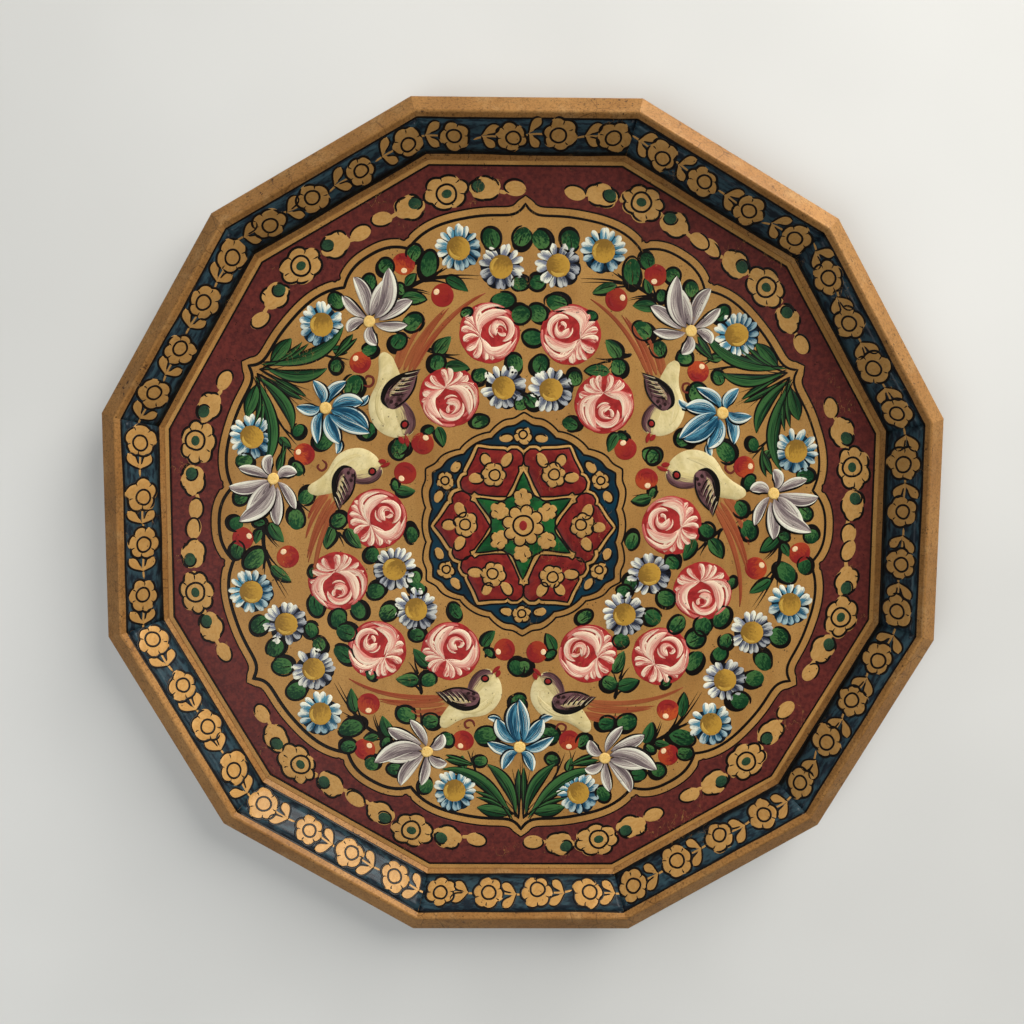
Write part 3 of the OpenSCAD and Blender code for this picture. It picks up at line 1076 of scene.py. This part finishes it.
def paint_border():
    """The maroon border, the double line of the cartouche and a painted shade line in the crease at the foot
    of the wall.
    """
    art = Painting("border_field")
    edge = wobble(FIELD_POINTS, 0.7, 9) + cartouche_radius(FIELD_ANGLES)
    cartouche = round_points(edge, FIELD_ANGLES)
    outer_line = cartouche - normals_of(cartouche, closed=True) * GOLD_LINE
    bearing = np.arctan2(-outer_line[:, 0], outer_line[:, 1]) % (2 * pi)
    order = np.argsort(bearing)
    distance = np.hypot(*outer_line.T)
    reach = np.interp(FIELD_ANGLES, bearing[order], distance[order], period=2 * pi)
    inner = round_points(reach, FIELD_ANGLES)
    outer_radius = polygon_radius(FIELD_ANGLES, FLOOR_RADIUS - GOLD_EDGE) + wobble(FIELD_POINTS, 0.15, 20)
    outer = round_points(outer_radius, FIELD_ANGLES)
    art.ring(MIDDLE, inner, outer, (MAROON, MAROON_DARK), 1, 0.05, (0, 0, 0.8), 14.0)
    art.loop(MIDDLE, cartouche, 1.6 + wobble(FIELD_POINTS, 0.12, 16), layer=2)
    art.loop(MIDDLE, inner, 0.8 + wobble(FIELD_POINTS, 0.06, 16), layer=2, rise=0.1)
    art.loop(MIDDLE, outer, 1.0 + wobble(FIELD_POINTS, 0.08, 16), layer=2, rise=0.1)
    # A thin brown line drawn along the crease at the wall's foot: painted shade for the shaded corner
    crease = round_points(polygon_radius(FIELD_ANGLES, FLOOR_RADIUS - CREASE_IN), FIELD_ANGLES)
    art.loop(MIDDLE, crease, 0.5, (OCHRE_DEEP, CREASE_SHADE_BROWN), layer=1, rise=0.05)
    art.build(PAINT)


# How far each corner's rosette stands from its corner, along the border
CORNER_SHIFTS = (5, 13, -3, 9, -7, 14, 5, 4, 2, 15, 0, 15)
# How far the green-spotted buds and the end buds stand from the rosette between them
GREEN_BUD_PLACE = 20
END_BUD_PLACE = 35
BORDER_RADIUS = 177.5


def paint_border_blossoms():
    """Twelve groups: a rosette between two green-spotted buds and two end buds."""
    for k, shift in enumerate(CORNER_SHIFTS):
        art = Painting(f"border_blossoms_{k + 1:02d}")
        corner = MIDDLE.at(turn=SIDE_ANGLE * k + degrees(HALF_SIDE))

        def along(place, drop, lean=0.0, flip=False):
            """A pose so far along the border from the corner, and so far in from its middle."""
            swing = -degrees(place / BORDER_RADIUS)
            out = BORDER_RADIUS - drop + rng.normal(0, 0.4)
            return corner.at(turn=swing).at(0, out, lean + rng.normal(0, 4), flip)

        for side in (-1, 1):
            place = shift + side * GREEN_BUD_PLACE + rng.normal(0, 0.6)
            link = [(side * 8, 0.5), (side * 12, -0.5)]
            art.stroke(along(shift, 0), link, 3.2, GOLD, 3, line_shape, 0.15, PLAIN_LOAD, 6)
            green_bud(art, along(place, 1.5, -8, side < 0), 17, 13)
            end_link = [(side * 7, -1), (side * 11, -2)]
            art.stroke(along(place, 2), end_link, 2.0, GOLD, 3, line_shape, 0.15, PLAIN_LOAD, 6)
            end = shift + side * END_BUD_PLACE + rng.normal(0, 0.6)
            bud(art, along(end, 3, -8, side < 0), 11.5, 7.6)
        blossom(art, along(shift, -0.6), 12.2, int(rng.integers(6, 8)), GREEN_HEART, 6, 0.76, 1.25)
        art.build(PAINT)


# ---------------------------------------------------------------- the medallion
def hexagon_radius(angle, flat_distance, scallop):
    """A six-sided outline with its points on the ogee axes, and scallops along its flats."""
    off = degrees_off_axis(angle)
    flat = flat_distance / np.cos(np.radians(30 - off))
    bumps = np.abs(np.sin(np.radians(off * 9))) ** 0.8
    return flat + scallop * (bumps - 0.6) - 1.6 * np.exp(-((off - 5) / 4) ** 2)


# Half of a red cartouche, from its outer point (+Y) over its side lobe to its inner point
KITE_HALF = [
    (0, 47.5), (5, 43.6), (11.4, 39.6), (12.2, 37.8), (14.8, 38.2), (17.4, 36.6), (18.6, 33.4),
    (17.8, 30), (15.4, 27.8), (13.4, 28.4), (12.4, 26.0), (6, 21.2), (0, 17.6),
]


def resample(outline, count):
    """Evenly spaced points round a closed outline."""
    ring = np.concatenate([outline, outline[:1]])
    step = np.concatenate([[0], np.cumsum(np.hypot(*np.diff(ring, axis=0).T))])
    place = np.linspace(0, step[-1], count, endpoint=False)
    return np.stack([np.interp(place, step, ring[:, 0]), np.interp(place, step, ring[:, 1])], axis=-1)


def kite_outline(grow=0.0, count=110):
    """A red cartouche, freshly drawn by hand each time, and grown all round on request."""
    right = np.array(KITE_HALF)
    even = resample(np.concatenate([right, right[-2:0:-1] * (-1, 1)]), count)
    even = even + normals_of(even, closed=True) * grow
    return even + np.stack([wobble(count, 0.12), wobble(count, 0.12)], axis=-1)


def star_outline(grow=0.0, count=144):
    """The six-pointed star with hollow sides."""
    a = around(count)
    off = degrees_off_axis(a) / 30
    tip, notch, hollow = 29, 17.2, 4.4
    radius = (tip + grow) * (1 - off) + (notch + grow) * off - hollow * np.sin(off * pi)
    radius = radius + wobble(count, 0.25, 8)
    return round_points(radius, a)


def medallion_outline(flat_distance, scallop, stray):
    """A scalloped hexagon, drawn by hand."""
    radius = hexagon_radius(FIELD_ANGLES, flat_distance, scallop) + wobble(FIELD_POINTS, stray, 9)
    return round_points(radius, FIELD_ANGLES)


# Distances in the medallion: its thin outer line, its blue field, and the gold rims of cartouches and star
OUTER_HEXAGON = 53.2
BLUE_HEXAGON = 49.6
KITE_RIM = 1.9
STAR_RIM = 2.4
KITE_MIDDLE = (0, 33)
MIDDLE_LOBES = 8
# Buds of one cartouche: place (x and y), length, width and turn
KITE_BUDS = ((0, 39.4, 7.5, 5.6, 90), (8.6, 34, 8.5, 5.8, 28), (-8.6, 34, 8.5, 5.8, 152))


def paint_medallion_fields():
    """The blue field, red cartouches and green star, with their gold rims; gives the cartouches' poses."""
    art = Painting("medallion_fields")
    art.loop(MIDDLE, medallion_outline(OUTER_HEXAGON, 2.0, 0.35), 1.0, layer=1)
    field = medallion_outline(BLUE_HEXAGON, 1.9, 0.3)
    art.blob(MIDDLE, field, (MEDALLION_BLUE, MEDALLION_BLUE_DARK), 1, 0.05, MOTTLED_LOAD, (0, 0))
    art.loop(MIDDLE, field, 1.1, layer=2)
    kites = [MIDDLE.at(rng.normal(0, 0.4), rng.normal(0, 0.4), 30 + 60 * k) for k in range(6)]
    for spot in kites:
        rim = kite_outline(KITE_RIM)
        art.loop(spot, rim, 1.9, layer=2)
        art.blob(spot, rim, GOLD, 5, 0.01, FIELD_LOAD, KITE_MIDDLE)
    art.blob(MIDDLE, star_outline(STAR_RIM), GOLD, 7, 0.04, FIELD_LOAD, (0, 0))
    star = star_outline()
    art.blob(MIDDLE, star, (MEDALLION_GREEN, MEDALLION_GREEN_DARK), 10, 0.05, MOTTLED_LOAD, (0, 0))
    art.loop(MIDDLE, star, 1.1, layer=11)
    for spot in kites:
        kite = kite_outline()
        art.blob(spot, kite, (MEDALLION_RED, MEDALLION_RED_DARK), 13, 0.01, FIELD_LOAD, KITE_MIDDLE)
        art.loop(spot, kite, 1.0, layer=14)
    art.build(PAINT)
    return kites


def paint_medallion_blossoms(kites):
    """Rosettes and buds in each cartouche, in each star tip and on the blue, round a large middle rosette."""
    art = Painting("medallion_blossoms")
    for k, spot in enumerate(kites):
        for x, y, length, width, turn in KITE_BUDS:
            bud(art, scattered(spot, x, y, 0.4, turn), length, width, 15)
        blossom(art, spot.at(rng.normal(0, 0.5), 31), 7.0, 6, None, 17, 0.95, 1.0)
        tip = MIDDLE.at(turn=60 * k)
        crown_place = tip.at(rng.normal(0, 0.4), 15, rng.normal(0, 8))
        crown = lobed(5.4, 5, 0.26, 54, 40, 0.05, 0.98)
        gild(art, crown_place, crown, 15)
        for start, share in ((0.02, 0.24), (0.36, 0.2), (0.62, 0.14)):
            trace(art, crown_place, crown, start, share, 1.2, 20, 0.97, 0.2)
        art.line(crown_place, [(-1.6, 2.2), (-0.6, 0.8), (-1.4, -0.6)], 1.0, 20, taper_shape, count=6)
        blossom(art, tip.at(rng.normal(0, 0.5), 47.6), 5.2, 5, None, 8, 0.95, 1.0)
        for flip in (False, True):
            bud(art, tip.at(flip=flip).at(8.8, 46.6, -8), 7.2, 4.8, 6)
    art.blob(MIDDLE, lobed(11.6, MIDDLE_LOBES, 0.16, 10), GOLD, 22, 0.2)
    for k in range(MIDDLE_LOBES):
        turn = 10 + 360 / MIDDLE_LOBES * (k + 0.5)
        centre = (8.0 * cos(radians(turn)), 8.0 * sin(radians(turn)))
        art.line(MIDDLE, arc(centre, 3.2, turn - 118, turn + 112, 14), 1.1, 27, count=14)
    art.loop(MIDDLE, lobed(5.4, 3, 0.03, 0, 40), 1.2, layer=27)
    art.blob(MIDDLE, oval(4.4, 5.6, 20), (MEDALLION_RED, ROSE_DEEP), 27, 0.3)
    art.build(PAINT)


# ---------------------------------------------------------------- the garland on the walls
BAND_LOW, BAND_HIGH = 3.3, 23.6
BAND_MIDDLE = (BAND_LOW + BAND_HIGH) / 2
BAND_RISE = 0.03
ROSETTES_PER_SIDE = 4
WALL_ROSETTE = 9.2
# Each rosette's pair of leaves: which side of the twig (1 is up), length and lean
WALL_LEAVES = ((1, 10.5, 38), (-1, 9.5, -40))


def wall_half_length(height):
    """Half the length of a wall's inner face, at a height up its slant."""
    return (FLOOR_RADIUS + height * sin(WALL_LEAN)) * tan(HALF_SIDE)


def paint_band(art):
    """The blue band of one wall, as one thin closed panel that meets its neighbours at the mitres."""
    count, rows = 40, 6
    share = np.linspace(0, 1, rows)
    edges = []
    for slant in (BAND_LOW, BAND_HIGH):
        reach = wall_half_length(slant)
        uneven = slant + wobble(count, 0.15, closed=False)
        edges.append(np.stack([np.linspace(-reach, reach, count), uneven], axis=-1))
    low, high = edges
    flat = np.concatenate([low + (high - low) * s for s in share])
    height = np.concatenate([np.full(count, 0.0 if s in (0, 1) else BAND_RISE) for s in share])
    art.add(MIDDLE, flat, height, sheet_faces(rows, count), flat / 14.0, (NAVY, NAVY_DARK), (0, 0, 1.3))
    for edge in (low, high):
        art.line(MIDDLE, edge, 1.0, 2, even_shape, count=count)


def paint_wall(side):
    """The blue band, its edge lines and the gold garland on one wall."""
    art = Painting(f"wall_band_{side + 1:02d}", on_wall(side), "painted_wall")
    paint_band(art)
    pitch = 2 * wall_half_length(12) / ROSETTES_PER_SIDE
    for k in range(ROSETTES_PER_SIDE):
        x = (k + 0.66 - ROSETTES_PER_SIDE / 2) * pitch + rng.normal(0, 0.8)
        y = BAND_MIDDLE + rng.normal(0, 0.6)
        twig = [(x - 19, y + rng.normal(0, 1)), (x - 13, y + 1.0), (x - 6, y)]
        art.stroke(MIDDLE, twig, 1.3, GOLD, 3, line_shape, 0.15, (0, 0, 0.6), 10)
        root = np.array([x - 15, y + 0.6])
        for up, length, lean in WALL_LEAVES:
            lean = radians(lean + rng.normal(0, 7))
            tip = root + (length * cos(lean), length * sin(lean))
            path = [root, (root + tip) / 2 + (0, up), tip]
            art.stroke(MIDDLE, path, 6.4, GOLD, 4, spoon_shape, 0.2, ROUND_LOAD)
            line = bezier(path, 14)
            edge = normals_of(line) * up * 2.7 * spoon_shape(np.linspace(0, 1, 14))[:, None]
            art.line(MIDDLE, line + edge, 1.2, 8, count=14)
            art.line(MIDDLE, (line - edge)[3:14], 1.1, 8, count=11)
        spot = MIDDLE.at(x, y, rng.uniform(0, 360))
        radius = WALL_ROSETTE + rng.normal(0, 0.3)
        blossom(art, spot, radius, int(rng.integers(5, 7)), None, 6, 0.94, 1.2)
    art.build(WALL_PAINT)


# ---------------------------------------------------------------- setting it all out
# Degrees by which the whole picture is turned from the tray's sides
SWING = -1.2
ROSE_PLACES = [(-21, 100.6), (-40.9, 66.1)]
GREY_LILY_PLACE = (-84.2, 104.8)
BLUE_LILY_PLACE = (0, 121.2)
BLUE_LILY_HEART = 6.6
# Turn of each rose's heart away from +Y of the tray, two to a wedge
ROSE_TURNS = [(-65, -155), (65, -175), (49, -30), (-164, -49), (-166, 74), (-37, 64)]
DAISIES = [(-12.3, 71.8, "slate"), (-14.6, 136.1, "slate"), (-37.9, 144.3, "blue"), (-109.2, 102.3, "blue")]
DAISY_PAINTS = {"slate": (PETAL_SLATE, PETAL_DEEP_SLATE), "blue": (PETAL_BLUE, PETAL_DEEP_BLUE)}
# Berries of one wedge: place (x and y), radius and turn of the pale dab
BERRIES = [(-65.9, 133.7, 5.7, -80), (-45, 119.3, 5.9, 150), (-88.3, 83.6, 5.6, 140), (-54.6, 42, 5.8, 60)]
# Way that the daisies' pale petals face, in degrees from +X
LIGHT_TURN = 120


def paint_leaves(wedge, pose, flip):
    """One wedge's leaves and stems, set without the flowers' swing, and its berries, set with it."""
    art = Painting(f"leaves_{wedge + 1}")
    steady = pose.at(turn=-SWING)
    for x, y, length, width, turn, pointed in WEDGE_LEAVES:
        leaf(art, scattered(steady, x, y, 0.5, turn + rng.normal(0, 8)), length, width, pointed)
    for bold, *path in WEDGE_STEMS:
        art.line(steady, path, 1.3 * bold, 3, taper_shape, count=16)
    if not flip:
        for x, y, length, width, turn in ROSE_AXIS_LEAVES:
            leaf(art, pose.at(x, y, turn), length, width)
    for x, y, radius, shine in BERRIES:
        berry(art, scattered(pose, x, y), radius, shine + rng.normal(0, 12), rng.uniform(0.1, 1))
    art.build(PAINT)


def paint_picture():
    """Everything between the medallion and the cartouche, one wedge after another."""
    for wedge, (turn, flip) in enumerate(WEDGES):
        pose = MIDDLE.at(turn=turn + SWING, flip=flip)
        lily_frame = MIDDLE.at(turn=turn, flip=flip).at(turn=LILY_TURN)
        paint_leaves(wedge, pose, flip)

        art = Painting(f"bird_{wedge + 1}")
        x, y, size, lean = BIRDS[wedge]
        bird(art, lily_frame.at(x, y, lean, size=size).at(-BIRD_EYE[0], -BIRD_EYE[1]))
        art.build(PAINT)

        art = Painting(f"grey_lily_{wedge + 1}")
        turn_out = LILY_TURN + rng.normal(0, 2)
        lily(art, scattered(pose, *GREY_LILY_PLACE, 0.4, turn_out), GREY_PETALS, GREY_TONES)
        art.build(PAINT)

        for k, ((x, y), heart_turn) in enumerate(zip(ROSE_PLACES, ROSE_TURNS[wedge])):
            art = Painting(f"rose_{2 * wedge + k + 1:02d}")
            spot = scattered(pose, x, y)
            rose(art, MIDDLE.at(*spot.matrix[:2, 2], heart_turn, flip=bool(rng.integers(0, 2))))
            art.build(PAINT)

        art = Painting(f"daisies_{wedge + 1}")
        for x, y, paint in DAISIES:
            spot = scattered(pose, x, y)
            light_angle = LIGHT_TURN + rng.normal(0, 35)
            daisy(art, MIDDLE.at(*spot.matrix[:2, 2], light_angle), *DAISY_PAINTS[paint])
        art.build(PAINT)

        if not flip:
            art = Painting(f"fan_{wedge // 2 + 1}")
            fan(art, lily_frame)
            art.build(PAINT)
            art = Painting(f"blue_lily_{wedge // 2 + 1}")
            spot = scattered(lily_frame, *BLUE_LILY_PLACE, 0.5)
            lily(art, spot, BLUE_CURLS + BLUE_PETALS + BLUE_MIDDLE, BLUE_TONES, BLUE_LILY_HEART)
            art.build(PAINT)


paint_border()
paint_border_blossoms()
paint_medallion_blossoms(paint_medallion_fields())
for wall in range(SIDES):
    paint_wall(wall)
paint_picture()


# ---------------------------------------------------------------- floor, light and camera
def table_finish():
    """A pale, dull surface."""
    n = Nodes("pale_floor")
    colour = n.mix(n.cloud(0.3, 0.7, 3, 3), TABLE_PALE, TABLE_GREY)
    return n.finish(colour, 0.85, 0.0, 0.5, 0.2)


def make_floor():
    """A plain sheet for the tray to lie on."""
    half = 6.0
    corners = [(-half, -half, 0), (half, -half, 0), (half, half, 0), (-half, half, 0)]
    mesh = bpy.data.meshes.new("pale_floor")
    mesh.from_pydata(corners, [], [(0, 1, 2, 3)])
    mesh.materials.append(table_finish())
    floor = bpy.data.objects.new("pale_floor", mesh)
    bpy.context.scene.collection.objects.link(floor)


def area_light(name, place, size, power, colour):
    """A round soft light that faces the middle of the tray."""
    lamp = bpy.data.lights.new(name, "AREA")
    lamp.shape = "DISK"
    lamp.size = size
    lamp.energy = power
    lamp.color = colour
    piece = bpy.data.objects.new(name, lamp)
    piece.location = place
    east, north, up = place
    piece.rotation_euler = (atan2(hypot(east, north), up), 0, atan2(north, east) + pi / 2)
    bpy.context.scene.collection.objects.link(piece)


def make_lights():
    """Soft light from one side, with a weaker fill from the other."""
    area_light("window", (1.15, 1.15, 0.98), 1.4, 39, (1.0, 0.97, 0.93))
    area_light("doorway", (0.95, 1.6, 0.4), 0.7, 21, (1.0, 0.98, 0.96))
    area_light("fill", (-0.85, -0.6, 1.33), 1.2, 14, (0.96, 0.98, 1.0))
    world = bpy.data.worlds.new("soft_room")
    world.use_nodes = True
    sky = world.node_tree.nodes["Background"].inputs
    sky["Color"].default_value = (0.95, 0.97, 1.0, 1)
    sky["Strength"].default_value = 0.17
    bpy.context.scene.world = world


# The camera looks down on the tray almost squarely, from just above its middle
CAMERA_PLACE = (-0.0104, 0.0432, 0.4667)
CAMERA_TILT = (-4.47, -0.52, 0.36)
CAMERA_LENS = 30.55


def make_camera():
    """The camera of the photograph."""
    camera = bpy.data.cameras.new("camera")
    camera.lens = CAMERA_LENS
    camera.sensor_width = 36
    camera.clip_start = 0.01
    piece = bpy.data.objects.new("camera", camera)
    piece.location = CAMERA_PLACE
    piece.rotation_euler = Euler([radians(a) for a in CAMERA_TILT])
    bpy.context.scene.collection.objects.link(piece)
    bpy.context.scene.camera = piece


make_floor()
make_lights()
make_camera()
bpy.context.scene.view_settings.view_transform = "Standard"
